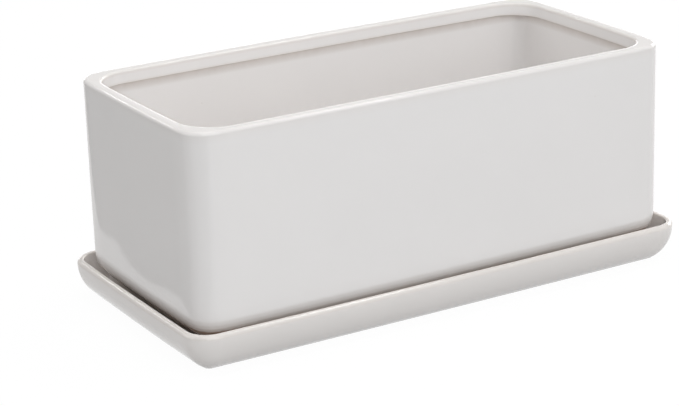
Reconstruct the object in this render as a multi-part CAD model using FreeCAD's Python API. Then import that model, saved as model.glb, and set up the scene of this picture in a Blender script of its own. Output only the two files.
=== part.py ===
import FreeCAD, Part
import math
import os

from FreeCAD import Vector

# Indoor herb planter: a soft-cornered rectangular ceramic pot that stands in its own drip saucer.
# Both are thick glazed castings, so their edges are eased and every side bows out a little.
# Lengths are in millimetres. +Z is up, +X runs along the length and +Y along the depth.
# The origin is the middle of the saucer's foot, on the surface that the planter stands on.

# Whole planter, saucer and pot together
overall_length = 266.7
overall_depth = 133.35
overall_height = 107.95

# How much larger a corner's arc is than the deepest rounding that runs round it
corner_spare = 1.5

# Saucer, plan
saucer_long_side_bow = 0.5
saucer_short_side_bow = 0.4

# Saucer, section through its wall
saucer_height = 19.0
saucer_wall = 3.4
saucer_floor_level = 5.5
saucer_foot_inset = 10.0
saucer_upright_level = 15.0
saucer_foot_edge_bevel = 0.6
saucer_floor_round = 3.0
saucer_rim_outer_round = 2.2
saucer_rim_inner_bevel = 0.8

# How far the section of the saucer's wall runs in past its foot, to join the floor
saucer_section_joint = 1.5

# Saucer, underside: the foot is the ring that stays round a shallow recess
saucer_foot_width = 6.0
saucer_foot_recess = 1.5
saucer_recess_corner_radius = 9.0

# Free gap all round between the saucer's wall and the pot, at the ends and along the sides
gap_at_ends = 2.7
gap_at_sides = 2.8

# Pot, plan: each corner is a tight arc with a gentler arc on either side that leads into the side
pot_corner_lead_radius = 60.0
pot_corner_lead_turn = math.radians(9.5)
pot_long_side_bow = 0.8
pot_short_side_bow = 0.5

# Pot, walls and floor
pot_wall = 4.8
pot_floor = 5.0
pot_base_round = 10.0

# Pot, lip: it stands in from the wall below it, all round the mouth, whose corners are softer than
# the pot's own
lip_width = 6.0
lip_height = 6.8
mouth_corner_radius = 17.0
lip_cove_bevel_share = 0.5
lip_lower_bevel_share = 0.3
lip_inner_bevel = 1.0
lip_outer_round = 3.2

# Pot, underside: a foot ring round a recess
pot_foot_width = 6.0
pot_foot_recess = 2.5
pot_recess_corner_radius = 8.0

# Drain holes in the pot's floor, in one row along its length
drain_hole_count = 2
drain_hole_diameter = 12.0
drain_hole_edge_bevel = 1.0
drain_hole_pitch_share = 0.5

# How far a cut runs past the face that it opens
overrun = 5.0

# How near an edge or face lies to a level to count as lying on it
level_tolerance = 0.001

# Sizes worked out from the ones above
pot_length = overall_length - 2 * (saucer_wall + gap_at_ends)
pot_depth = overall_depth - 2 * (saucer_wall + gap_at_sides)
pot_recess_top = saucer_floor_level + pot_foot_recess
pot_floor_level = pot_recess_top + pot_floor
lip_underside_level = overall_height - lip_height
lip_overhang = lip_width - pot_wall
lip_cove_bevel = lip_overhang * lip_cove_bevel_share
lip_lower_bevel = lip_overhang * lip_lower_bevel_share
saucer_wall_radius = (saucer_upright_level ** 2 + saucer_foot_inset ** 2) / (2 * saucer_foot_inset)
saucer_section_depth = saucer_foot_inset + saucer_section_joint
saucer_corner_radius = saucer_section_depth + corner_spare
pot_corner_radius = pot_base_round + corner_spare
pot_inner_floor_round = pot_corner_radius - pot_wall - corner_spare


def bow_radius(end_along, end_across, end_radius, bow):
    """Radius of a side's arc that meets its corner arc without a kink.

    The side's middle stands proud of the corner arc's crest by bow. The corner arc's centre lies
    end_along from the middle and end_across inside it.
    """
    return (end_along ** 2 + end_across ** 2 - end_radius ** 2) / (2 * bow)


class Plan:
    """Plan view of a piece: four gently bowed sides and four corners, all in arcs that run on smoothly.

    A corner is one arc. Where lead_turn isn't zero, a gentler arc of lead_radius on either side of it
    takes the first and last lead_turn of its quarter.
    """

    def __init__(self, length, depth, corner_radius, long_bow, short_bow, lead_radius=0, lead_turn=0):
        self.length = length
        self.depth = depth
        self.long_bow = long_bow
        self.short_bow = short_bow
        half_length = length / 2
        half_depth = depth / 2
        if not lead_turn:
            lead_radius = corner_radius
        step = lead_radius - corner_radius
        short_lead_x = half_length - short_bow - lead_radius
        long_lead_y = half_depth - long_bow - lead_radius
        corner_x = short_lead_x + step * math.cos(lead_turn)
        corner_y = long_lead_y + step * math.cos(lead_turn)
        long_lead_x = corner_x - step * math.sin(lead_turn)
        short_lead_y = corner_y - step * math.sin(lead_turn)
        long_radius = bow_radius(long_lead_x, half_depth - long_lead_y, lead_radius, long_bow)
        short_radius = bow_radius(short_lead_y, half_length - short_lead_x, lead_radius, short_bow)
        short_end = math.atan2(short_lead_y, short_lead_x - half_length + short_radius)
        corner_end = math.pi / 2 - lead_turn
        long_end = math.atan2(long_lead_y - half_depth + long_radius, long_lead_x)
        corner = [(corner_x, corner_y, corner_radius, short_end, long_end)]
        if lead_turn:
            corner = [
                (short_lead_x, short_lead_y, lead_radius, short_end, lead_turn),
                (corner_x, corner_y, corner_radius, lead_turn, corner_end),
                (long_lead_x, long_lead_y, lead_radius, corner_end, long_end),
            ]
        right_side = (half_length - short_radius, 0, short_radius, -short_end, short_end)
        far_side = (0, half_depth - long_radius, long_radius, long_end, math.pi - long_end)
        half = [right_side, *corner, far_side, *self.mirrored(corner)]
        self.arcs = half + self.half_turn(half)

    @staticmethod
    def mirrored(corner):
        """The arcs of the corner at the other end of the long side, in their order along the outline."""
        arcs = reversed(corner)
        return [(-x, y, radius, math.pi - end, math.pi - start) for x, y, radius, start, end in arcs]

    @staticmethod
    def half_turn(arcs):
        """The same arcs on the opposite half of the outline."""
        return [(-x, -y, radius, math.pi + start, math.pi + end) for x, y, radius, start, end in arcs]

    def inner(self, inset, corner_radius):
        """The plan of a hollow that leaves a rim of this width, with plain corners of its own."""
        length = self.length - 2 * inset
        depth = self.depth - 2 * inset
        return Plan(length, depth, corner_radius, self.long_bow, self.short_bow)

    def wire(self, inset, level):
        """Closed outline, drawn in by inset all round, at a level above the table."""
        edges = []
        for x, y, radius, start, end in self.arcs:
            reach = radius - inset
            places = []
            for angle in (start, (start + end) / 2, end):
                places.append(Vector(x + reach * math.cos(angle), y + reach * math.sin(angle), level))
            edges.append(Part.Arc(*places).toShape())
        return Part.Wire(edges)

    def block(self, inset, bottom, top):
        """Upright solid on this outline."""
        return Part.Face(self.wire(inset, bottom)).extrude(Vector(0, 0, top - bottom))

    def wall_ring(self, section):
        """Wall with the same section all round, swept about the centre of each arc in turn.

        The section lies in the XZ plane, with its outermost points at x = 0.
        """
        pieces = []
        for x, y, radius, start, end in self.arcs:
            profile = section.copy()
            profile.translate(Vector(radius, 0, 0))
            profile.rotate(Vector(0, 0, 0), Vector(0, 0, 1), math.degrees(start))
            piece = profile.revolve(Vector(0, 0, 0), Vector(0, 0, 1), math.degrees(end - start))
            piece.translate(Vector(x, y, 0))
            pieces.append(piece)
        return pieces[0].multiFuse(pieces[1:])


def section_arc(x, z, radius, start, end):
    """Arc in the XZ plane about the point x, z."""
    places = []
    for angle in (start, (start + end) / 2, end):
        places.append(Vector(x + radius * math.cos(angle), 0, z + radius * math.sin(angle)))
    return Part.Arc(*places).toShape()


def closed_section(stops):
    """Face in the XZ plane whose outline runs through arcs and corner points in turn, by straight lines."""
    edges = []
    for number, stop in enumerate(stops):
        following = stops[(number + 1) % len(stops)]
        leave = stop
        reach = following
        if isinstance(stop, Part.Edge):
            edges.append(stop)
            leave = stop.lastVertex(True).Point
        if isinstance(following, Part.Edge):
            reach = following.firstVertex(True).Point
        if leave.distanceToPoint(reach) > level_tolerance:
            edges.append(Part.makeLine(leave, reach))
    return Part.Face(Part.Wire(edges))


def nested_round(radius, drop, size):
    """Where a small round sits inside an arc so that it also touches a level below the arc's centre.

    Returns how far to the side of the arc's centre the round's centre lies, and the angle at which
    the two touch.
    """
    across = math.sqrt((radius - size) ** 2 - (drop - size) ** 2)
    return across, math.atan2(drop - size, across)


def saucer_section():
    """Section through the saucer's wall: bevelled foot, curved outside, rounded rim, curved inside, floor."""
    centre_x = -saucer_wall_radius
    inner_radius = saucer_wall_radius - saucer_wall
    quarter = math.pi / 2
    bevel_drop = saucer_upright_level - saucer_foot_edge_bevel
    bevel_angle = math.asin(bevel_drop / saucer_wall_radius)
    foot_x = centre_x + saucer_wall_radius * math.cos(bevel_angle) - saucer_foot_edge_bevel
    floor_drop = saucer_upright_level - saucer_floor_level
    floor_across, floor_angle = nested_round(inner_radius, floor_drop, saucer_floor_round)
    return closed_section([
        Vector(foot_x, 0, 0),
        section_arc(centre_x, saucer_upright_level, saucer_wall_radius, -bevel_angle, 0),
        section_arc(-saucer_rim_outer_round, saucer_height - saucer_rim_outer_round,
                    saucer_rim_outer_round, 0, quarter),
        Vector(-saucer_wall + saucer_rim_inner_bevel, 0, saucer_height),
        Vector(-saucer_wall, 0, saucer_height - saucer_rim_inner_bevel),
        section_arc(centre_x, saucer_upright_level, inner_radius, 0, -floor_angle),
        section_arc(centre_x + floor_across, saucer_floor_level + saucer_floor_round,
                    saucer_floor_round, -floor_angle, -quarter),
        Vector(-saucer_section_depth, 0, saucer_floor_level),
        Vector(-saucer_section_depth, 0, 0),
    ])


def edges_at(shape, level):
    """Edges that lie wholly at a level."""
    found = []
    for edge in shape.Edges:
        box = edge.BoundBox
        if max(abs(box.ZMin - level), abs(box.ZMax - level)) < level_tolerance:
            found.append(edge)
    return found


def ring_edges_at(shape, level):
    """Edges of the holes in the flat faces that lie at a level."""
    found = []
    for face in shape.Faces:
        box = face.BoundBox
        if max(abs(box.ZMin - level), abs(box.ZMax - level)) < level_tolerance:
            for wire in face.Wires:
                if not wire.isSame(face.OuterWire):
                    found.extend(wire.Edges)
    return found


def drain_hole_places():
    """Places of the drain holes along the length, evenly about the middle."""
    pitch = pot_length * drain_hole_pitch_share
    first = -pitch * (drain_hole_count - 1) / 2
    return [first + pitch * number for number in range(drain_hole_count)]


def make_saucer():
    """Shallow tray with a wall that curves up from the foot, a flat floor and a ring to stand on."""
    plan = Plan(overall_length, overall_depth, saucer_corner_radius,
                saucer_long_side_bow, saucer_short_side_bow)
    floor = plan.block(saucer_section_depth, 0, saucer_floor_level)
    tray = plan.wall_ring(saucer_section()).fuse(floor).removeSplitter()
    recess_plan = plan.inner(saucer_foot_inset + saucer_foot_width, saucer_recess_corner_radius)
    return tray.cut(recess_plan.block(0, -overrun, saucer_foot_recess))


def make_pot():
    """Upright pot with a rounded base, a lip that stands in from the wall, and drain holes."""
    plan = Plan(pot_length, pot_depth, pot_corner_radius, pot_long_side_bow, pot_short_side_bow,
                pot_corner_lead_radius, pot_corner_lead_turn)
    body = plan.block(0, saucer_floor_level, overall_height)
    body = body.makeFillet(pot_base_round, edges_at(body, saucer_floor_level))
    body = body.makeFillet(lip_outer_round, edges_at(body, overall_height))
    cavity = plan.block(pot_wall, pot_floor_level, lip_underside_level)
    cavity = cavity.makeFillet(pot_inner_floor_round, edges_at(cavity, pot_floor_level))
    cavity = cavity.makeChamfer(lip_cove_bevel, edges_at(cavity, lip_underside_level))
    mouth_plan = plan.inner(lip_width, mouth_corner_radius)
    mouth = mouth_plan.block(0, lip_underside_level - overrun, overall_height + overrun)
    pot = body.cut(cavity.fuse(mouth))
    pot = pot.makeChamfer(lip_inner_bevel, ring_edges_at(pot, overall_height))
    pot = pot.makeChamfer(lip_lower_bevel, ring_edges_at(pot, lip_underside_level))
    recess_plan = plan.inner(pot_base_round + pot_foot_width, pot_recess_corner_radius)
    pot = pot.cut(recess_plan.block(0, saucer_floor_level - overrun, pot_recess_top))
    hole_length = pot_floor + 2 * overrun
    for place in drain_hole_places():
        start = Vector(place, 0, pot_recess_top - overrun)
        pot = pot.cut(Part.makeCylinder(drain_hole_diameter / 2, hole_length, start))
    hole_edges = ring_edges_at(pot, pot_floor_level) + ring_edges_at(pot, pot_recess_top)
    return pot.makeChamfer(drain_hole_edge_bevel, hole_edges)


def save(name, shape):
    """Write one piece and print whether it is one sound solid."""
    solids = shape.Solids
    print(name, "solids", len(solids), "valid", shape.isValid(), "volume", round(shape.Volume))
    Part.Compound(solids).exportStep(os.path.join("parts", name + ".step"))


os.makedirs("parts", exist_ok=True)
save("drip_saucer", make_saucer())
save("planter_pot", make_pot())
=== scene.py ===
"""Indoor herb planter: a soft-cornered glazed ceramic pot that stands in its drip saucer.

The pieces' sizes are in millimetres, and the studio's are in metres. The two pieces are closed shells,
swept from a section round a plan of arcs, with a little of the unevenness of a fired and glazed casting.
"""
import logging
import math
from collections.abc import Iterable, Sequence
from dataclasses import dataclass, replace
from enum import Enum

import bmesh
import bpy
from mathutils import Matrix, Vector, noise


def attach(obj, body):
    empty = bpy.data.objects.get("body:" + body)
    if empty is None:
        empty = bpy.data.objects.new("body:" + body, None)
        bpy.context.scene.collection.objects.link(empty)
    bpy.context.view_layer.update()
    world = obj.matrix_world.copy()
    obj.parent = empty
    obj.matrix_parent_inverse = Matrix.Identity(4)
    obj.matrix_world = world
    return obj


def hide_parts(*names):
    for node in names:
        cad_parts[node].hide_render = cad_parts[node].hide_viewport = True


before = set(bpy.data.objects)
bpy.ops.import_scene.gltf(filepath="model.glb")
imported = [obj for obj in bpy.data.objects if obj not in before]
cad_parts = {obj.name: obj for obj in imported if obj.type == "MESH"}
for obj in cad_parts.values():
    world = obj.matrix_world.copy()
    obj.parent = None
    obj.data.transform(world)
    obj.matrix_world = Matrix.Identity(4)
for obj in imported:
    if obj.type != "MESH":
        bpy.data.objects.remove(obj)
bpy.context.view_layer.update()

LOG = logging.getLogger("planter")
MM = 0.001

# Directions in a section, in degrees; UNDER is DOWN again, for arcs that run between it and OUT
OUT = 0
UP = 90
IN = 180
DOWN = 270
UNDER = -90

# Where the rows across the underside of a foot ring lie, as shares of its width
FOOT_SHARES = (0.25, 0.5, 0.75)

Row = list[bmesh.types.BMVert]


class Coat(Enum):
    """How the glaze lies on a stretch of the surface, as (thin, bare, painted shade) shares."""

    FULL = (0.0, 0.0, 0.0)
    EASED = (0.45, 0.0, 0.0)
    THIN = (1.0, 0.0, 0.0)
    # The next four grade a warm tint and a dark tone, from faint to full, as painted shade where shade falls
    # near the pot's foot and under its lip
    SHADE_FAINT = (0.3, 0.0, 0.03)
    SHADE_MID = (0.7, 0.0, 0.10)
    SHADE_DEEP = (1.0, 0.0, 0.28)
    SHADE_FULL = (1.0, 0.0, 1.0)
    # EDGE is thin glaze and bare clay at a foot's edge, with some painted shade laid over it
    EDGE = (1.0, 0.35, 0.4)
    BARE = (0.0, 1.0, 0.0)


@dataclass(frozen=True)
class PlanArc:
    """One arc of a plan, counter-clockwise about its centre, in millimetres and radians."""

    x: float
    y: float
    radius: float
    start: float
    end: float
    steps: int

    def points(self) -> list[tuple[float, float]]:
        """Points along the arc, without its last one.

        Returns:
            Places in millimetres.
        """
        turn = (self.end - self.start) / self.steps
        angles = [self.start + turn * number for number in range(self.steps)]
        return [(self.x + self.radius * math.cos(angle), self.y + self.radius * math.sin(angle))
                for angle in angles]


@dataclass(frozen=True)
class Plan:
    """Plan of a piece in millimetres: four bowed sides and four soft corners that run on smoothly.

    A corner is one arc, or a tight arc between two gentler ones that lead into the sides.
    """

    length: float
    depth: float
    corner_radius: float
    long_bow: float
    short_bow: float
    lead_radius: float = 0.0
    lead_turn: float = 0.0
    long_steps: int = 56
    short_steps: int = 28
    lead_steps: int = 5
    core_steps: int = 14

    def arcs(self) -> list[PlanArc]:
        """Half of the outline: the right side, a corner, the far side and the next corner.

        Returns:
            The arcs in their order.
        """
        half_length = self.length / 2
        half_depth = self.depth / 2
        lead = self.lead_radius if self.lead_turn else self.corner_radius
        step = lead - self.corner_radius
        short_x = half_length - self.short_bow - lead
        long_y = half_depth - self.long_bow - lead
        core_x = short_x + step * math.cos(self.lead_turn)
        core_y = long_y + step * math.cos(self.lead_turn)
        long_x = core_x - step * math.sin(self.lead_turn)
        short_y = core_y - step * math.sin(self.lead_turn)
        long_radius = self.side_radius(long_x, half_depth - long_y, lead, self.long_bow)
        short_radius = self.side_radius(short_y, half_length - short_x, lead, self.short_bow)
        short_end = math.atan2(short_y, short_x - half_length + short_radius)
        long_end = math.atan2(long_y - half_depth + long_radius, long_x)
        core_end = math.pi / 2 - self.lead_turn
        if self.lead_turn:
            corner = [
                PlanArc(short_x, short_y, lead, short_end, self.lead_turn, self.lead_steps),
                PlanArc(core_x, core_y, self.corner_radius, self.lead_turn, core_end, self.core_steps),
                PlanArc(long_x, long_y, lead, core_end, long_end, self.lead_steps),
            ]
        else:
            steps = self.core_steps + 2 * self.lead_steps
            corner = [PlanArc(core_x, core_y, self.corner_radius, short_end, long_end, steps)]
        right = PlanArc(half_length - short_radius, 0, short_radius,
                        -short_end, short_end, self.short_steps)
        far = PlanArc(0, half_depth - long_radius, long_radius,
                      long_end, math.pi - long_end, self.long_steps)
        back = [PlanArc(-arc.x, arc.y, arc.radius, math.pi - arc.end, math.pi - arc.start, arc.steps)
                for arc in reversed(corner)]
        return [right, *corner, far, *back]

    @staticmethod
    def side_radius(along: float, across: float, radius: float, bow: float) -> float:
        """Radius of a side's arc that meets the corner's outer arc without a kink.

        Args:
            along: From the side's middle to the corner arc's centre, along the side.
            across: From the side's crest to that centre, square to the side.
            radius: Radius of the corner's arc.
            bow: How far the side's crest stands proud of the corner arc's.

        Returns:
            The radius in millimetres.
        """
        return (along ** 2 + across ** 2 - radius ** 2) / (2 * bow)

    def loop(self) -> list[tuple[float, float]]:
        """The whole outline.

        Returns:
            Places in millimetres, counter-clockwise.
        """
        half = [place for arc in self.arcs() for place in arc.points()]
        return half + [(-x, -y) for x, y in half]

    def offset(self, inset: float, corner_share: float = 1.0) -> "Plan":
        """The plan drawn in all round.

        Args:
            inset: How far it is drawn in.
            corner_share: Share of the inset that the corner's radius loses, 1 for an even distance.

        Returns:
            The smaller plan.
        """
        return replace(self, length=self.length - 2 * inset, depth=self.depth - 2 * inset,
                       corner_radius=self.corner_radius - corner_share * inset,
                       lead_radius=self.lead_radius - inset)

    def inner(self, inset: float, corner_radius: float) -> "Plan":
        """The plan of a hollow that leaves a rim of this width, with plain corners of its own.

        Args:
            inset: Width of the rim.
            corner_radius: Radius of the hollow's corners.

        Returns:
            The smaller plan.
        """
        return Plan(self.length - 2 * inset, self.depth - 2 * inset, corner_radius,
                    self.long_bow, self.short_bow)


@dataclass(frozen=True)
class Ring:
    """One row of points round a piece."""

    plan: Plan
    inset: float
    level: float
    coat: Coat = Coat.FULL
    wave: float = 1.0
    corner_share: float = 1.0


def section_arc(plan: Plan, inset: float, level: float, radius: float, start: float, end: float,
                steps: int, coat: Coat = Coat.FULL, wave: float = 1.0,
                corner_share: float = 1.0) -> list[Ring]:
    """Rings along an arc of the section.

    Args:
        plan: The plan that the rings follow.
        inset: Inset of the arc's centre.
        level: Level of the arc's centre.
        radius: Radius of the arc.
        start: Direction of its start in degrees, seen from the centre.
        end: Direction of its end.
        steps: Number of steps between its rows.
        coat: How the glaze lies there.
        wave: Share of the piece's unevenness.
        corner_share: Share of an inset that the corners' radius loses.

    Returns:
        The rings, both ends included.
    """
    rings = []
    for number in range(steps + 1):
        angle = math.radians(start + (end - start) * number / steps)
        rings.append(Ring(plan, inset - radius * math.cos(angle), level + radius * math.sin(angle),
                          coat, wave, corner_share))
    return rings


def straight(plan: Plan, inset: float, bottom: float, top: float, steps: int) -> list[Ring]:
    """Rings up or down an upright wall, without its two ends.

    Args:
        plan: The plan that the rings follow.
        inset: Inset of the wall.
        bottom: Level where it starts.
        top: Level where it ends.
        steps: Number of steps between its rows.

    Returns:
        The rings between the ends.
    """
    return [Ring(plan, inset, bottom + (top - bottom) * number / steps) for number in range(1, steps)]


class Shell:
    """A skin that is swept through rings and closed by flat floors, which may have round holes."""

    def __init__(self, name: str) -> None:
        """Starts an empty skin.

        Args:
            name: Name of the piece.
        """
        self.name = name
        self.bm = bmesh.new()
        self.thin = self.bm.verts.layers.float.new("thin")
        self.bare = self.bm.verts.layers.float.new("bare")
        # Share of painted shade: a dark tone laid on where shade falls
        self.painted_shade = self.bm.verts.layers.float.new("painted_shade")
        self.wave = self.bm.verts.layers.float.new("wave")

    def row(self, places: Iterable[tuple[float, float]], level: float, coat: Coat, wave: float) -> Row:
        """Adds one row of points.

        Args:
            places: Places in millimetres.
            level: Their level in millimetres.
            coat: How the glaze lies there.
            wave: Share of the piece's unevenness.

        Returns:
            The new vertices.
        """
        verts = []
        for x, y in places:
            vert = self.bm.verts.new((x * MM, y * MM, level * MM))
            vert[self.thin], vert[self.bare], vert[self.painted_shade] = coat.value
            vert[self.wave] = wave
            verts.append(vert)
        return verts

    def band(self, low: Row, high: Row) -> None:
        """Joins two rows with faces.

        Args:
            low: One row.
            high: The next row, with as many points.
        """
        count = len(low)
        for number in range(count):
            after = (number + 1) % count
            self.bm.faces.new((low[number], low[after], high[after], high[number]))

    def sweep(self, rings: Sequence[Ring]) -> tuple[Row, Row]:
        """Sweeps the skin through rings.

        Args:
            rings: The rings in their order.

        Returns:
            The first and the last row of vertices.
        """
        rows = []
        for ring in rings:
            plan = ring.plan.offset(ring.inset, ring.corner_share)
            rows.append(self.row(plan.loop(), ring.level, ring.coat, ring.wave))
        for low, high in zip(rows, rows[1:]):
            self.band(low, high)
        return rows[0], rows[-1]

    def floor(self, rows: Sequence[Row]) -> None:
        """Closes a level area between an outer row and the rows round its holes.

        Args:
            rows: The rows that bound the area.
        """
        edges = []
        for row in rows:
            for first, second in zip(row, [*row[1:], row[0]]):
                edges.append(self.bm.edges.get((first, second)) or self.bm.edges.new((first, second)))
        bmesh.ops.triangle_fill(self.bm, use_beauty=True, use_dissolve=False, edges=edges)

    def unevenness(self, depth: float, size: float, seed: float) -> None:
        """Sinks the skin a little, by slow noise, as a hand-finished casting is never quite true.

        Args:
            depth: Deepest hollow in millimetres.
            size: Width of a hollow in millimetres.
            seed: Shift of the pattern.
        """
        self.bm.normal_update()
        moved = []
        for vert in self.bm.verts:
            place = vert.co / (size * MM) + Vector((seed, seed, seed))
            share = 0.5 + 0.5 * noise.noise(place)
            moved.append(vert.co - vert.normal * (depth * MM * share * vert[self.wave]))
        for vert, place in zip(self.bm.verts, moved):
            vert.co = place

    def finish(self, material: bpy.types.Material) -> bpy.types.Object:
        """Turns the skin into an object.

        Args:
            material: Its finish.

        Returns:
            The new object.
        """
        bmesh.ops.recalc_face_normals(self.bm, faces=self.bm.faces)
        mesh = bpy.data.meshes.new(self.name)
        self.bm.to_mesh(mesh)
        self.bm.free()
        for face in mesh.polygons:
            face.use_smooth = True
        mesh.materials.append(material)
        piece = bpy.data.objects.new(self.name, mesh)
        bpy.context.scene.collection.objects.link(piece)
        return piece


class Wiring:
    """Short ways to add and join shader nodes in one tree."""

    def __init__(self, tree: bpy.types.NodeTree) -> None:
        """Remembers the tree.

        Args:
            tree: The node tree to add to.
        """
        self.tree = tree

    def node(self, kind: str, **settings: object) -> bpy.types.Node:
        """Adds a node.

        Args:
            kind: Its type.
            **settings: Properties to set on it.

        Returns:
            The new node.
        """
        node = self.tree.nodes.new(kind)
        for name, value in settings.items():
            setattr(node, name, value)
        return node

    def join(self, source: object, target: bpy.types.NodeSocket) -> None:
        """Links a socket to an input, or sets the input to a plain value.

        Args:
            source: A socket or a value.
            target: The input.
        """
        if isinstance(source, bpy.types.NodeSocket):
            self.tree.links.new(source, target)
        else:
            target.default_value = source

    def math(self, operation: str, *values: object) -> bpy.types.NodeSocket:
        """Adds a Math node.

        Args:
            operation: What it does.
            *values: Sockets or numbers for its inputs.

        Returns:
            Its output.
        """
        node = self.node("ShaderNodeMath", operation=operation)
        for value, target in zip(values, node.inputs):
            self.join(value, target)
        return node.outputs[0]

    def noise(self, place: bpy.types.NodeSocket, scale: float, detail: float) -> bpy.types.NodeSocket:
        """Adds a noise texture.

        Args:
            place: Where it is read.
            scale: Features to the metre.
            detail: Octaves.

        Returns:
            Its value, around a half.
        """
        node = self.node("ShaderNodeTexNoise")
        node.inputs["Scale"].default_value = scale
        node.inputs["Detail"].default_value = detail
        self.join(place, node.inputs["Vector"])
        return node.outputs[0]

    def attribute(self, name: str) -> bpy.types.NodeSocket:
        """The value of a mesh attribute.

        Args:
            name: Its name.

        Returns:
            The value as a socket.
        """
        return self.node("ShaderNodeAttribute", attribute_name=name).outputs["Fac"]

    def spread(self, value: object, low: float, high: float) -> bpy.types.NodeSocket:
        """Turns a span of a value into a mask that runs smoothly from 0 to 1.

        Args:
            value: The value.
            low: Where the mask is 0.
            high: Where the mask is 1.

        Returns:
            The mask.
        """
        node = self.node("ShaderNodeMapRange", interpolation_type="SMOOTHSTEP")
        self.join(value, node.inputs["Value"])
        node.inputs["From Min"].default_value = low
        node.inputs["From Max"].default_value = high
        return node.outputs["Result"]

    def scaled(self, colour: bpy.types.NodeSocket, factor: object) -> bpy.types.NodeSocket:
        """Makes a colour lighter or darker.

        Args:
            colour: The colour.
            factor: A socket or number to multiply it by.

        Returns:
            The new colour.
        """
        node = self.node("ShaderNodeVectorMath", operation="SCALE")
        self.join(colour, node.inputs[0])
        self.join(factor, node.inputs["Scale"])
        return node.outputs[0]

    def mix(self, share: object, first: object, second: object) -> bpy.types.NodeSocket:
        """Blends two numbers.

        Args:
            share: 0 for the first and 1 for the second.
            first: A socket or number.
            second: A socket or number.

        Returns:
            The blend.
        """
        node = self.node("ShaderNodeMix", data_type="FLOAT")
        for value, number in zip((share, first, second), (0, 2, 3)):
            self.join(value, node.inputs[number])
        return node.outputs[0]

    def blend(self, share: object, first: object, second: object) -> bpy.types.NodeSocket:
        """Blends two colours.

        Args:
            share: 0 for the first and 1 for the second.
            first: A socket or colour.
            second: A socket or colour.

        Returns:
            The blend.
        """
        node = self.node("ShaderNodeMix", data_type="RGBA")
        for value, number in zip((share, first, second), (0, 6, 7)):
            self.join(value, node.inputs[number])
        return node.outputs[2]


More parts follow.
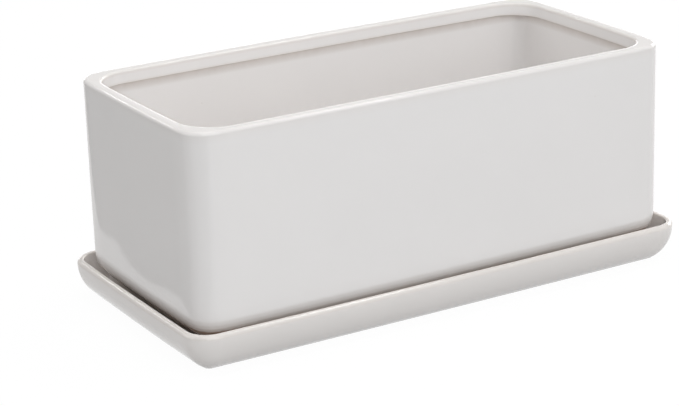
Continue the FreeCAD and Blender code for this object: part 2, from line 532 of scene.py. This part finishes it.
class GlazeDetail:
    """The shader group of both glazes: tone, thin edges, painted shade, pinholes, clay and orange peel."""

    NAME = "glaze_detail"

    # Each noise: features to the metre, and octaves
    SLOW = (22.0, 3.0)
    FINE = (240.0, 4.0)
    PEEL = (620.0, 2.0)
    GRAIN = (2600.0, 5.0)

    # What the fine noise is multiplied by, and what is added, where it makes a mask ragged
    THIN_RAGGED = (0.5, 0.75)
    BARE_RAGGED = (0.3, -0.15)
    SHADE_RAGGED = (0.6, 0.7)

    # Where bare clay starts to show through, and where it is all that shows
    BARE_EDGE = (0.42, 0.58)

    # Pinholes: cells to the metre, how wide they are, which of the cells have one, tone and depth
    DOT_CELLS = 95.0
    DOT_WIDTH = (0.055, 0.02)
    DOT_CHOICE = (0.9, 0.93)
    DOT_TONE = 0.12
    DOT_DEPTH = 1.5

    # Bare clay: its grain's tone, roughness and height
    CLAY_TONE = (0.3, 0.85)
    CLAY_ROUGHNESS = 0.88
    CLAY_HEIGHT = 2.0

    # Roughness that the fine noise and thin glaze add, and heights of the peel and the slow waves
    FINE_ROUGHNESS = 0.03
    THIN_ROUGHNESS = 0.12
    PEEL_HEIGHT = 0.06
    SLOW_HEIGHT = 3.0

    @classmethod
    def group(cls) -> bpy.types.ShaderNodeTree:
        """The group, built the first time that it is asked for.

        Returns:
            The node group.
        """
        return bpy.data.node_groups.get(cls.NAME) or cls.build()

    @staticmethod
    def sockets(tree: bpy.types.ShaderNodeTree) -> None:
        """Gives the group its inputs and outputs.

        Args:
            tree: The group.
        """
        inputs = (
            ("Glaze Colour", "NodeSocketColor", (0.8, 0.8, 0.8, 1)),
            ("Thin Colour", "NodeSocketColor", (0.7, 0.65, 0.6, 1)),
            ("Clay Colour", "NodeSocketColor", (0.6, 0.5, 0.4, 1)),
            ("Painted Shade Colour", "NodeSocketColor", (0.3, 0.2, 0.2, 1)),
            ("Thin Strength", "NodeSocketFloat", 0.3),
            ("Mottle Strength", "NodeSocketFloat", 0.02),
            ("Glaze Roughness", "NodeSocketFloat", 0.1),
            ("Seed", "NodeSocketFloat", 0.0),
        )
        for name, kind, value in inputs:
            tree.interface.new_socket(name, in_out="INPUT", socket_type=kind).default_value = value
        for name, kind in (("Colour", "NodeSocketColor"), ("Roughness", "NodeSocketFloat"),
                           ("Height", "NodeSocketFloat")):
            tree.interface.new_socket(name, in_out="OUTPUT", socket_type=kind)

    @classmethod
    def build(cls) -> bpy.types.ShaderNodeTree:
        """Builds the group.

        Returns:
            The new node group.
        """
        tree = bpy.data.node_groups.new(cls.NAME, "ShaderNodeTree")
        cls.sockets(tree)
        wiring = Wiring(tree)
        given = wiring.node("NodeGroupInput")
        put = wiring.node("NodeGroupOutput")
        place = wiring.node("ShaderNodeTexCoord").outputs["Object"]
        shift = wiring.node("ShaderNodeVectorMath", operation="ADD")
        wiring.join(place, shift.inputs[0])
        wiring.join(given.outputs["Seed"], shift.inputs[1])
        place = shift.outputs[0]

        slow = wiring.noise(place, *cls.SLOW)
        fine = wiring.noise(place, *cls.FINE)
        peel = wiring.noise(place, *cls.PEEL)
        grain = wiring.noise(place, *cls.GRAIN)
        thin = wiring.attribute("thin")
        bare = wiring.attribute("bare")

        # Where the glaze has drawn back, by the edge masks broken up a little by noise
        ragged = wiring.math("MULTIPLY_ADD", fine, *cls.THIN_RAGGED)
        thin_share = wiring.math("MULTIPLY", thin, ragged)
        thin_share = wiring.math("MULTIPLY", thin_share, given.outputs["Thin Strength"])
        bare_edge = wiring.math("ADD", bare, wiring.math("MULTIPLY_ADD", fine, *cls.BARE_RAGGED))
        bare_share = wiring.spread(bare_edge, *cls.BARE_EDGE)

        # Slow mottling of the glaze
        mottle = wiring.math("MULTIPLY_ADD", slow, 2.0, -1.0)
        mottle = wiring.math("MULTIPLY_ADD", mottle, given.outputs["Mottle Strength"], 1.0)
        toned = wiring.scaled(given.outputs["Glaze Colour"], mottle)
        colour = wiring.blend(thin_share, toned, given.outputs["Thin Colour"])

        # Pinholes: small dark dots, few and far between
        dots = wiring.node("ShaderNodeTexVoronoi", feature="F1")
        dots.inputs["Scale"].default_value = cls.DOT_CELLS
        dots.inputs["Randomness"].default_value = 1.0
        wiring.join(place, dots.inputs["Vector"])
        near = wiring.spread(dots.outputs["Distance"], *cls.DOT_WIDTH)
        chosen = wiring.node("ShaderNodeSeparateColor")
        wiring.join(dots.outputs["Color"], chosen.inputs[0])
        pinhole = wiring.math("MULTIPLY", near, wiring.spread(chosen.outputs[0], *cls.DOT_CHOICE))
        dot_tone = wiring.math("MULTIPLY", pinhole, cls.DOT_TONE)
        colour = wiring.blend(dot_tone, colour, given.outputs["Clay Colour"])

        # Painted shade round the foot and in the lip's hollow, where shade falls, with a ragged edge
        ragged = wiring.math("MULTIPLY_ADD", fine, *cls.SHADE_RAGGED)
        painted_shade_share = wiring.math("MULTIPLY", wiring.attribute("painted_shade"), ragged)
        colour = wiring.blend(painted_shade_share, colour, given.outputs["Painted Shade Colour"])

        # Bare clay on the foot ring, with its own fine grain
        tone = wiring.math("MULTIPLY_ADD", grain, *cls.CLAY_TONE)
        clay = wiring.scaled(given.outputs["Clay Colour"], tone)
        colour = wiring.blend(bare_share, colour, clay)
        wiring.join(colour, put.inputs["Colour"])

        rough = wiring.math("MULTIPLY_ADD", fine, cls.FINE_ROUGHNESS, given.outputs["Glaze Roughness"])
        rough = wiring.math("MULTIPLY_ADD", thin_share, cls.THIN_ROUGHNESS, rough)
        wiring.join(wiring.mix(bare_share, rough, cls.CLAY_ROUGHNESS), put.inputs["Roughness"])

        height = wiring.math("MULTIPLY", slow, cls.SLOW_HEIGHT)
        height = wiring.math("MULTIPLY_ADD", peel, cls.PEEL_HEIGHT, height)
        height = wiring.math("SUBTRACT", height, wiring.math("MULTIPLY", pinhole, cls.DOT_DEPTH))
        rough_clay = wiring.math("MULTIPLY", wiring.math("MULTIPLY", grain, cls.CLAY_HEIGHT), bare_share)
        wiring.join(wiring.math("ADD", height, rough_clay), put.inputs["Height"])
        return tree


@dataclass(frozen=True)
class GlazeFinish:
    """A glossy glaze over pale clay."""

    name: str
    glaze: tuple[float, float, float]
    thin: tuple[float, float, float] = (0.70, 0.62, 0.54)
    clay: tuple[float, float, float] = (0.60, 0.50, 0.39)
    # Colour of the painted shade round the foot and under the lip
    painted_shade: tuple[float, float, float] = (0.32, 0.22, 0.16)
    thin_strength: float = 0.22
    mottle: float = 0.02
    roughness: float = 0.03
    seed: float = 0.0
    bump_distance: float = 0.00003
    ior: float = 1.5

    def material(self) -> bpy.types.Material:
        """Builds the material.

        Returns:
            The new material.
        """
        material = bpy.data.materials.new(self.name)
        material.use_nodes = True
        wiring = Wiring(material.node_tree)
        shader = material.node_tree.nodes["Principled BSDF"]
        detail = wiring.node("ShaderNodeGroup", node_tree=GlazeDetail.group())
        values = {
            "Glaze Colour": (*self.glaze, 1),
            "Thin Colour": (*self.thin, 1),
            "Clay Colour": (*self.clay, 1),
            "Painted Shade Colour": (*self.painted_shade, 1),
            "Thin Strength": self.thin_strength,
            "Mottle Strength": self.mottle,
            "Glaze Roughness": self.roughness,
            "Seed": self.seed,
        }
        for name, value in values.items():
            detail.inputs[name].default_value = value
        wiring.join(detail.outputs["Colour"], shader.inputs["Base Color"])
        wiring.join(detail.outputs["Roughness"], shader.inputs["Roughness"])
        bump = wiring.node("ShaderNodeBump")
        bump.inputs["Distance"].default_value = self.bump_distance
        wiring.join(detail.outputs["Height"], bump.inputs["Height"])
        wiring.join(bump.outputs[0], shader.inputs["Normal"])
        shader.inputs["IOR"].default_value = self.ior
        return material


POT_GLAZE = GlazeFinish("pot_glaze", (0.905, 0.882, 0.868), seed=0.4)
# The saucer has the same glaze as the pot; its copy is made darker and warmer as painted shade for its low
# wall
SAUCER_GLAZE = GlazeFinish("saucer_glaze", (0.865, 0.829, 0.802), seed=3.7)


@dataclass
class Planter:
    """Sizes that the pot and the saucer share, in millimetres."""

    length: float = 266.7
    depth: float = 133.35
    height: float = 107.95
    saucer_floor: float = 5.5
    pot_length: float = 254.5
    pot_depth: float = 120.95
    flat_margin: float = 1.2


@dataclass
class DripSaucer:
    """The shallow saucer: a wall that curves up from a foot ring round a flat floor."""

    whole: Planter
    finish: GlazeFinish
    corner_radius: float = 13.0
    long_bow: float = 0.5
    short_bow: float = 0.4
    height: float = 19.0
    wall: float = 3.4
    foot_inset: float = 10.0
    foot_round: float = 0.9
    floor_round: float = 3.0
    rim_outer: float = 2.2
    rim_inner: float = 1.0
    foot_width: float = 6.0
    recess: float = 1.5
    recess_corner: float = 9.0
    recess_round: float = 0.7
    recess_edge: float = 0.42
    uneven_depth: float = 0.22
    uneven_size: float = 48.0
    uneven_seed: float = 7.3

    def plan(self) -> Plan:
        """The saucer's outline."""
        return Plan(self.whole.length, self.whole.depth, self.corner_radius, self.long_bow, self.short_bow)

    def nested(self, radius: float, drop: float, size: float) -> tuple[float, float]:
        """Where a small round sits inside an arc so that it also touches a level below the arc's centre.

        Args:
            radius: Radius of the arc.
            drop: How far the level lies below the arc's centre.
            size: Radius of the round.

        Returns:
            How far the round's centre lies to the side, and the angle in degrees where the two touch.
        """
        across = math.sqrt((radius - size) ** 2 - (drop - size) ** 2)
        return across, math.degrees(math.atan2(drop - size, across))

    def rings(self) -> list[Ring]:
        """The section of the saucer from the recess under it, over the wall, to its floor.

        Returns:
            The rings in their order.
        """
        plan = self.plan()
        hollow = plan.inner(self.foot_inset + self.foot_width, self.recess_corner)
        floor = self.whole.saucer_floor
        upright = self.height - self.rim_outer
        outer = (upright ** 2 + self.foot_inset ** 2) / (2 * self.foot_inset)
        inner = outer - self.wall
        foot_across, foot_turn = self.nested(outer, upright, self.foot_round)
        floor_across, floor_turn = self.nested(inner, upright - floor, self.floor_round)
        small = self.recess_round
        edge = self.recess_edge
        rings = [Ring(hollow, small + self.whole.flat_margin, self.recess, wave=0.0)]
        rings += section_arc(hollow, small, self.recess - small, small, UP, OUT, steps=4, wave=0.0)
        rings += section_arc(hollow, -edge, edge, edge, IN, DOWN, steps=3, coat=Coat.EDGE, wave=0.0)
        for share in FOOT_SHARES:
            inset = -2 * small - (self.foot_width - small) * share
            rings.append(Ring(hollow, inset, 0.0, Coat.BARE, 0.0))
        rings += section_arc(plan, outer - foot_across, self.foot_round, self.foot_round,
                             UNDER, -foot_turn, steps=5, coat=Coat.EDGE, wave=0.0)
        rings += section_arc(plan, outer, upright, outer, -foot_turn, OUT, steps=18)[1:]
        rings += section_arc(plan, self.rim_outer, upright, self.rim_outer,
                             OUT, UP, steps=10, coat=Coat.THIN)[1:]
        rings += section_arc(plan, self.wall - self.rim_inner, self.height - self.rim_inner, self.rim_inner,
                             UP, IN, steps=7, coat=Coat.THIN)
        rings += straight(plan, self.wall, self.height - self.rim_inner, upright, steps=3)
        rings += section_arc(plan, outer, upright, inner, OUT, -floor_turn, steps=12)
        rings += section_arc(plan, outer - floor_across, floor + self.floor_round, self.floor_round,
                             -floor_turn, UNDER, steps=5, wave=0.0)[1:]
        rings.append(Ring(plan, outer - floor_across + self.whole.flat_margin, floor, wave=0.0))
        return rings

    def build(self) -> bpy.types.Object:
        """Makes the saucer.

        Returns:
            The new piece.
        """
        shell = Shell("saucer_glazed")
        first, last = shell.sweep(self.rings())
        shell.floor([first])
        shell.floor([last])
        shell.unevenness(self.uneven_depth, self.uneven_size, self.uneven_seed)
        piece = shell.finish(self.finish.material())
        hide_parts("drip_saucer")
        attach(piece, "saucer")
        return piece


@dataclass
class PlanterPot:
    """The pot: upright walls on a rounded base, with a lip that stands in round its mouth."""

    whole: Planter
    finish: GlazeFinish
    corner_radius: float = 11.5
    lead_radius: float = 60.0
    lead_turn: float = math.radians(9.5)
    long_bow: float = 0.8
    short_bow: float = 0.5
    wall: float = 4.8
    base_round: float = 14.2
    base_corner_share: float = 0.55
    # Stretches of the base's round: start and end in degrees, steps, and how the glaze lies there; the coats
    # darken the round towards the foot as painted shade
    base_turns: tuple[tuple[float, float, int, Coat], ...] = (
        (-90, -30, 9, Coat.SHADE_FULL), (-30, -23, 2, Coat.SHADE_DEEP), (-23, -16, 2, Coat.SHADE_MID),
        (-16, -8, 2, Coat.SHADE_FAINT), (-8, 0, 2, Coat.FULL),
    )
    inner_round: float = 9.0
    inner_corner_share: float = 0.3
    floor: float = 5.0
    recess: float = 2.5
    foot_height: float = 3.5
    foot_inset: float = 17.0
    foot_width: float = 6.0
    foot_round: float = 0.7
    foot_fillet: float = 1.0
    recess_corner: float = 8.0
    recess_round: float = 1.2
    lip_width: float = 6.0
    lip_height: float = 6.8
    mouth_corner: float = 17.0
    lip_outer: float = 2.0
    lip_fall: float = 13.0
    lip_crown: float = 2.5
    lip_inner: float = 1.4
    lip_lower: float = 0.5
    lip_cove: float = 0.6
    hole_places: tuple[float, ...] = (-63.625, 63.625)
    hole_radius: float = 6.0
    hole_round: float = 1.0
    hole_margin: float = 1.0
    hole_steps: int = 48
    hole_round_steps: int = 5
    uneven_depth: float = 0.3
    uneven_size: float = 62.0
    uneven_seed: float = 2.1

    def plan(self) -> Plan:
        """The pot's outline."""
        return Plan(self.whole.pot_length, self.whole.pot_depth, self.corner_radius, self.long_bow,
                    self.short_bow, self.lead_radius, self.lead_turn)

    def underside(self, plan: Plan, bottom: float, top: float) -> list[Ring]:
        """The recess under the pot and the foot ring round it.

        Args:
            plan: The pot's outline.
            bottom: Level of the foot.
            top: Level of the recess's top.

        Returns:
            The rings from the recess out to the foot's outer edge.
        """
        foot = plan.offset(self.foot_inset, self.base_corner_share)
        hollow = plan.inner(self.foot_inset + self.foot_width, self.recess_corner)
        small = self.recess_round
        edge = self.foot_round
        fillet = self.foot_fillet
        rings = [Ring(hollow, small + self.whole.flat_margin, top, wave=0.0)]
        rings += section_arc(hollow, small, top - small, small, UP, OUT, steps=4, wave=0.0)
        rings += section_arc(hollow, -edge, bottom + edge, edge, IN, DOWN, steps=3, coat=Coat.EDGE, wave=0.0)
        for share in FOOT_SHARES:
            inset = -edge - (self.foot_width - 2 * edge) * share
            rings.append(Ring(hollow, inset, bottom, Coat.BARE, 0.0))
        rings += section_arc(foot, edge, bottom + edge, edge, UNDER, OUT, steps=3, coat=Coat.EDGE, wave=0.0)
        # The crease above the foot ring gets full painted shade
        rings += section_arc(foot, -fillet, bottom + self.foot_height - fillet, fillet,
                             IN, UP, steps=4, coat=Coat.SHADE_FULL, wave=0.0)
        return rings

    def lip(self, plan: Plan, top: float) -> list[Ring]:
        """The lip, from the outside of the wall over the rim to the wall of the well.

        Args:
            plan: The pot's outline.
            top: Level of the rim.

        Returns:
            The rings in their order.
        """
        under = top - self.lip_height
        mouth = plan.inner(self.lip_width, self.mouth_corner)
        fall = math.radians(self.lip_fall)
        crown = self.lip_crown + self.lip_inner
        drop = self.lip_crown * (1 - math.cos(fall))
        rings = section_arc(plan, self.lip_outer, top - self.lip_outer, self.lip_outer,
                            OUT, UP, steps=14, coat=Coat.EASED)
        rings += section_arc(mouth, -self.lip_inner - self.lip_crown * math.sin(fall), top - crown, crown,
                             UP, UP + self.lip_fall, steps=4, coat=Coat.EASED)
        rings += section_arc(mouth, -self.lip_inner, top - self.lip_inner - drop, self.lip_inner,
                             UP + self.lip_fall, IN, steps=9, coat=Coat.THIN)[1:]
        rings += straight(mouth, 0.0, top - self.lip_inner - drop, under + self.lip_lower, steps=5)
        rings += section_arc(mouth, -self.lip_lower, under + self.lip_lower, self.lip_lower,
                             IN, DOWN, steps=5, coat=Coat.THIN)
        # The cove under the lip gets painted shade, with a warm tint
        rings += section_arc(plan, self.wall + self.lip_cove, under - self.lip_cove, self.lip_cove,
                             UP, OUT, steps=5, coat=Coat.SHADE_DEEP)
        return rings

    def rings(self) -> list[Ring]:
        """The section of the pot from the recess under it, over the lip, to the floor of its well.

        Returns:
            The rings in their order.
        """
        plan = self.plan()
        bottom = self.whole.saucer_floor
        recess_top = bottom + self.recess
        floor = recess_top + self.floor
        top = self.whole.height
        base = bottom + self.foot_height + self.base_round
        rings = self.underside(plan, bottom, recess_top)
        for start, end, steps, coat in self.base_turns:
            rings += section_arc(plan, self.base_round, base, self.base_round, start, end, steps, coat,
                                 corner_share=self.base_corner_share)[1:]
        rings += straight(plan, 0.0, base, top - self.lip_outer, steps=22)
        rings += self.lip(plan, top)
        cavity = plan.offset(self.wall)
        inner_bottom = floor + self.inner_round
        rings += straight(cavity, 0.0, top - self.lip_height - self.lip_cove, inner_bottom, steps=20)
        rings += section_arc(cavity, self.inner_round, inner_bottom, self.inner_round, OUT, UNDER,
                             steps=10, corner_share=self.inner_corner_share)
        rings.append(Ring(cavity, self.inner_round + self.whole.flat_margin, floor, wave=0.0,
                          corner_share=self.inner_corner_share))
        return rings

    def hole(self, shell: Shell, place: float, bottom: float, top: float) -> tuple[Row, Row]:
        """A drain hole with rounded edges.

        Args:
            shell: The skin that it belongs to.
            place: Its place along the length.
            bottom: Level of the floor's underside.
            top: Level of the floor.

        Returns:
            The rows of vertices round its lower and its upper mouth.
        """
        small = self.hole_round
        section = [(self.hole_radius + small + self.hole_margin, bottom)]
        for number in range(self.hole_round_steps + 1):
            angle = math.radians(UP * number / self.hole_round_steps)
            section.append((self.hole_radius + small - small * math.sin(angle),
                            bottom + small - small * math.cos(angle)))
        section += [(radius, bottom + top - level) for radius, level in reversed(section)]
        rows = []
        for radius, level in section:
            turns = [2 * math.pi * number / self.hole_steps for number in range(self.hole_steps)]
            circle = [(place + radius * math.cos(turn), radius * math.sin(turn)) for turn in turns]
            rows.append(shell.row(circle, level, Coat.EASED, 0.0))
        for low, high in zip(rows, rows[1:]):
            shell.band(low, high)
        return rows[0], rows[-1]

    def build(self) -> bpy.types.Object:
        """Makes the pot.

        Returns:
            The new piece.
        """
        shell = Shell("pot_glazed")
        first, last = shell.sweep(self.rings())
        bottom = self.whole.saucer_floor + self.recess
        mouths = [self.hole(shell, place, bottom, bottom + self.floor) for place in self.hole_places]
        shell.floor([first, *[low for low, _ in mouths]])
        shell.floor([last, *[high for _, high in mouths]])
        shell.unevenness(self.uneven_depth, self.uneven_size, self.uneven_seed)
        piece = shell.finish(self.finish.material())
        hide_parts("planter_pot")
        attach(piece, "pot")
        return piece


@dataclass(frozen=True)
class SoftLamp:
    """A rectangular soft lamp that points at the planter."""

    name: str
    place: tuple[float, float, float]
    size: tuple[float, float]
    watts: float
    colour: tuple[float, float, float] = (1.0, 1.0, 1.0)
    aim: tuple[float, float, float] = (0.0, 0.0, 0.05)

    def build(self) -> bpy.types.Object:
        """Adds the lamp.

        Returns:
            The new lamp.
        """
        lamp = bpy.data.lights.new(self.name, "AREA")
        lamp.shape = "RECTANGLE"
        lamp.size, lamp.size_y = self.size
        lamp.energy = self.watts
        lamp.color = self.colour
        holder = bpy.data.objects.new(self.name, lamp)
        holder.location = self.place
        aim = Vector(self.aim) - Vector(self.place)
        holder.rotation_euler = aim.to_track_quat("-Z", "Y").to_euler()
        bpy.context.scene.collection.objects.link(holder)
        return holder


@dataclass
class Studio:
    """The floor, the soft light and the camera."""

    azimuth: float = -30.067
    elevation: float = 18.792
    roll: float = -1.835
    distance: float = 1.05541
    target: tuple[float, float, float] = (-0.020954, 0.0, 0.04089)
    focal_px: float = 2232.66
    frame_px: float = 679.0
    sensor: float = 36.0
    clip: tuple[float, float] = (0.01, 100.0)
    floor_half: float = 4.0
    floor_level: float = -0.00005
    floor_tone: float = 0.5
    floor_glow: float = 0.92
    floor_white: float = 1.05
    sheet_edge: tuple[float, float] = (-0.152, -0.147)
    sheet_ripple: float = 0.024
    ripple_noise: tuple[float, float] = (14.0, 2.0)
    world_light: float = 0.45
    world_gloss: float = 0.7
    dark_side: tuple[float, float, float] = (-0.8, -0.6, 0.0)
    dark_span: tuple[float, float] = (-0.25, 0.75)
    dark_share: float = 0.4
    lamps: tuple[SoftLamp, ...] = (
        SoftLamp("key_front", (-0.34, -1.92, 0.98), (1.8, 1.8), 21.0, (0.955, 0.978, 1.0)),
        SoftLamp("fill_left", (-2.05, 0.85, 1.0), (1.6, 1.2), 7.9),
        SoftLamp("fill_right", (1.9, 0.65, 0.7), (1.2, 0.8), 11.0, (1.0, 0.97, 0.95)),
        SoftLamp("overhead", (0.0, -0.15, 2.2), (1.0, 1.0), 9.8, (1.0, 0.99, 0.985)),
        SoftLamp("strip_overhead", (1.02, -0.38, 1.98), (0.5, 0.15), 2.6),
        SoftLamp("spark_overhead", (0.87, -0.40, 1.95), (0.45, 0.16), 1.8),
        SoftLamp("strip_left", (-0.71, 1.80, 1.09), (0.9, 0.06), 1.9),
        SoftLamp("backdrop_glow", (1.3, 2.24, 0.28), (3.0, 0.30), 9.0),
    )

    def camera(self) -> bpy.types.Object:
        """Adds the camera at the photograph's viewpoint.

        Returns:
            The new camera.
        """
        azimuth = math.radians(self.azimuth)
        elevation = math.radians(self.elevation)
        back = Vector((math.sin(azimuth) * math.cos(elevation), -math.cos(azimuth) * math.cos(elevation),
                       math.sin(elevation)))
        right = Vector((math.cos(azimuth), math.sin(azimuth), 0.0))
        up = back.cross(right)
        roll = math.radians(self.roll)
        side = right * math.cos(roll) + up * math.sin(roll)
        top = up * math.cos(roll) - right * math.sin(roll)
        lens = bpy.data.cameras.new("camera")
        lens.sensor_width = self.sensor
        lens.sensor_fit = "HORIZONTAL"
        lens.lens = self.focal_px / self.frame_px * self.sensor
        lens.clip_start, lens.clip_end = self.clip
        camera = bpy.data.objects.new("camera", lens)
        place = Vector(self.target) + back * self.distance
        turn = Matrix((side, top, back)).transposed().to_4x4()
        camera.matrix_world = Matrix.Translation(place) @ turn
        bpy.context.scene.collection.objects.link(camera)
        bpy.context.scene.camera = camera
        return camera

    @staticmethod
    def backdrop_rays(wiring: Wiring, near: bpy.types.NodeSocket) -> bpy.types.NodeSocket:
        """A mask of the rays that see the floor as plain white.

        Args:
            wiring: The tree to add to.
            near: 1 where the white sheet lies on the floor, for the rays that the glaze reflects.

        Returns:
            1 for camera and transmission rays, near for glossy rays, and 0 for the others.
        """
        rays = wiring.node("ShaderNodeLightPath")
        seen = wiring.math("MAXIMUM", rays.outputs["Is Camera Ray"], rays.outputs["Is Transmission Ray"])
        glossy = wiring.math("MULTIPLY", rays.outputs["Is Glossy Ray"], near)
        return wiring.math("MAXIMUM", seen, glossy)

    def floor(self) -> bpy.types.Object:
        """Adds the pale floor, which keeps a soft trace of the planter's shadow.

        In what the glaze mirrors, it is a white sheet that starts at a slightly wavy edge just to the left
        of the planter and runs on to the right, and it is plain before that edge.

        Returns:
            The new floor.
        """
        material = bpy.data.materials.new("studio_floor")
        material.use_nodes = True
        wiring = Wiring(material.node_tree)
        shader = material.node_tree.nodes["Principled BSDF"]
        shader.inputs["Base Color"].default_value = (self.floor_tone, self.floor_tone, self.floor_tone, 1)
        shader.inputs["Roughness"].default_value = 1.0
        shader.inputs["Specular IOR Level"].default_value = 0.0
        glow = wiring.node("ShaderNodeEmission")
        glow.inputs["Strength"].default_value = self.floor_white
        mix = wiring.node("ShaderNodeMixShader")
        spot = wiring.node("ShaderNodeTexCoord").outputs["Object"]
        place = wiring.node("ShaderNodeSeparateXYZ")
        wiring.join(spot, place.inputs[0])
        ripple = wiring.noise(spot, *self.ripple_noise)
        edge = wiring.math("MULTIPLY_ADD", ripple, self.sheet_ripple, place.outputs["X"])
        near = wiring.spread(edge, *self.sheet_edge)
        share = wiring.math("MULTIPLY", self.backdrop_rays(wiring, near), self.floor_glow)
        wiring.join(share, mix.inputs[0])
        wiring.join(shader.outputs[0], mix.inputs[1])
        wiring.join(glow.outputs[0], mix.inputs[2])
        wiring.join(mix.outputs[0], material.node_tree.nodes["Material Output"].inputs["Surface"])
        half = self.floor_half
        mesh = bpy.data.meshes.new("studio_floor")
        level = self.floor_level
        corners = [(-half, -half, level), (half, -half, level), (half, half, level), (-half, half, level)]
        mesh.from_pydata(corners, [], [(0, 1, 2, 3)])
        mesh.materials.append(material)
        floor = bpy.data.objects.new("studio_floor", mesh)
        bpy.context.scene.collection.objects.link(floor)
        return floor

    def world(self) -> None:
        """Lights the scene from all round, less from the dark side, with plain white behind it."""
        world = bpy.data.worlds.new("studio_world")
        world.use_nodes = True
        wiring = Wiring(world.node_tree)
        light = world.node_tree.nodes["Background"]
        rays = wiring.node("ShaderNodeLightPath")
        facing = wiring.node("ShaderNodeVectorMath", operation="DOT_PRODUCT")
        wiring.join(wiring.node("ShaderNodeTexCoord").outputs["Generated"], facing.inputs[0])
        wiring.join(self.dark_side, facing.inputs[1])
        dark = wiring.spread(facing.outputs["Value"], *self.dark_span)
        shade = wiring.math("MULTIPLY_ADD", dark, -self.dark_share, 1.0)
        level = wiring.mix(rays.outputs["Is Glossy Ray"], self.world_light, self.world_gloss)
        lit = wiring.math("MULTIPLY", level, shade)
        wiring.join(wiring.mix(rays.outputs["Is Camera Ray"], lit, 1.0), light.inputs["Strength"])
        light.inputs["Color"].default_value = (1, 1, 1, 1)
        bpy.context.scene.world = world

    def build(self) -> None:
        """Adds everything round the planter."""
        self.camera()
        self.floor()
        self.world()
        for lamp in self.lamps:
            lamp.build()


def main() -> None:
    """Builds the studio and the two pieces in order."""
    logging.basicConfig(level=logging.INFO, format="%(name)s: %(message)s")
    bpy.context.scene.view_settings.view_transform = "Standard"
    Studio().build()
    whole = Planter()
    for part in (DripSaucer(whole, SAUCER_GLAZE), PlanterPot(whole, POT_GLAZE)):
        piece = part.build()
        LOG.info("built %s with %d faces", piece.name, len(piece.data.polygons))


if __name__ == "__main__":
    main()
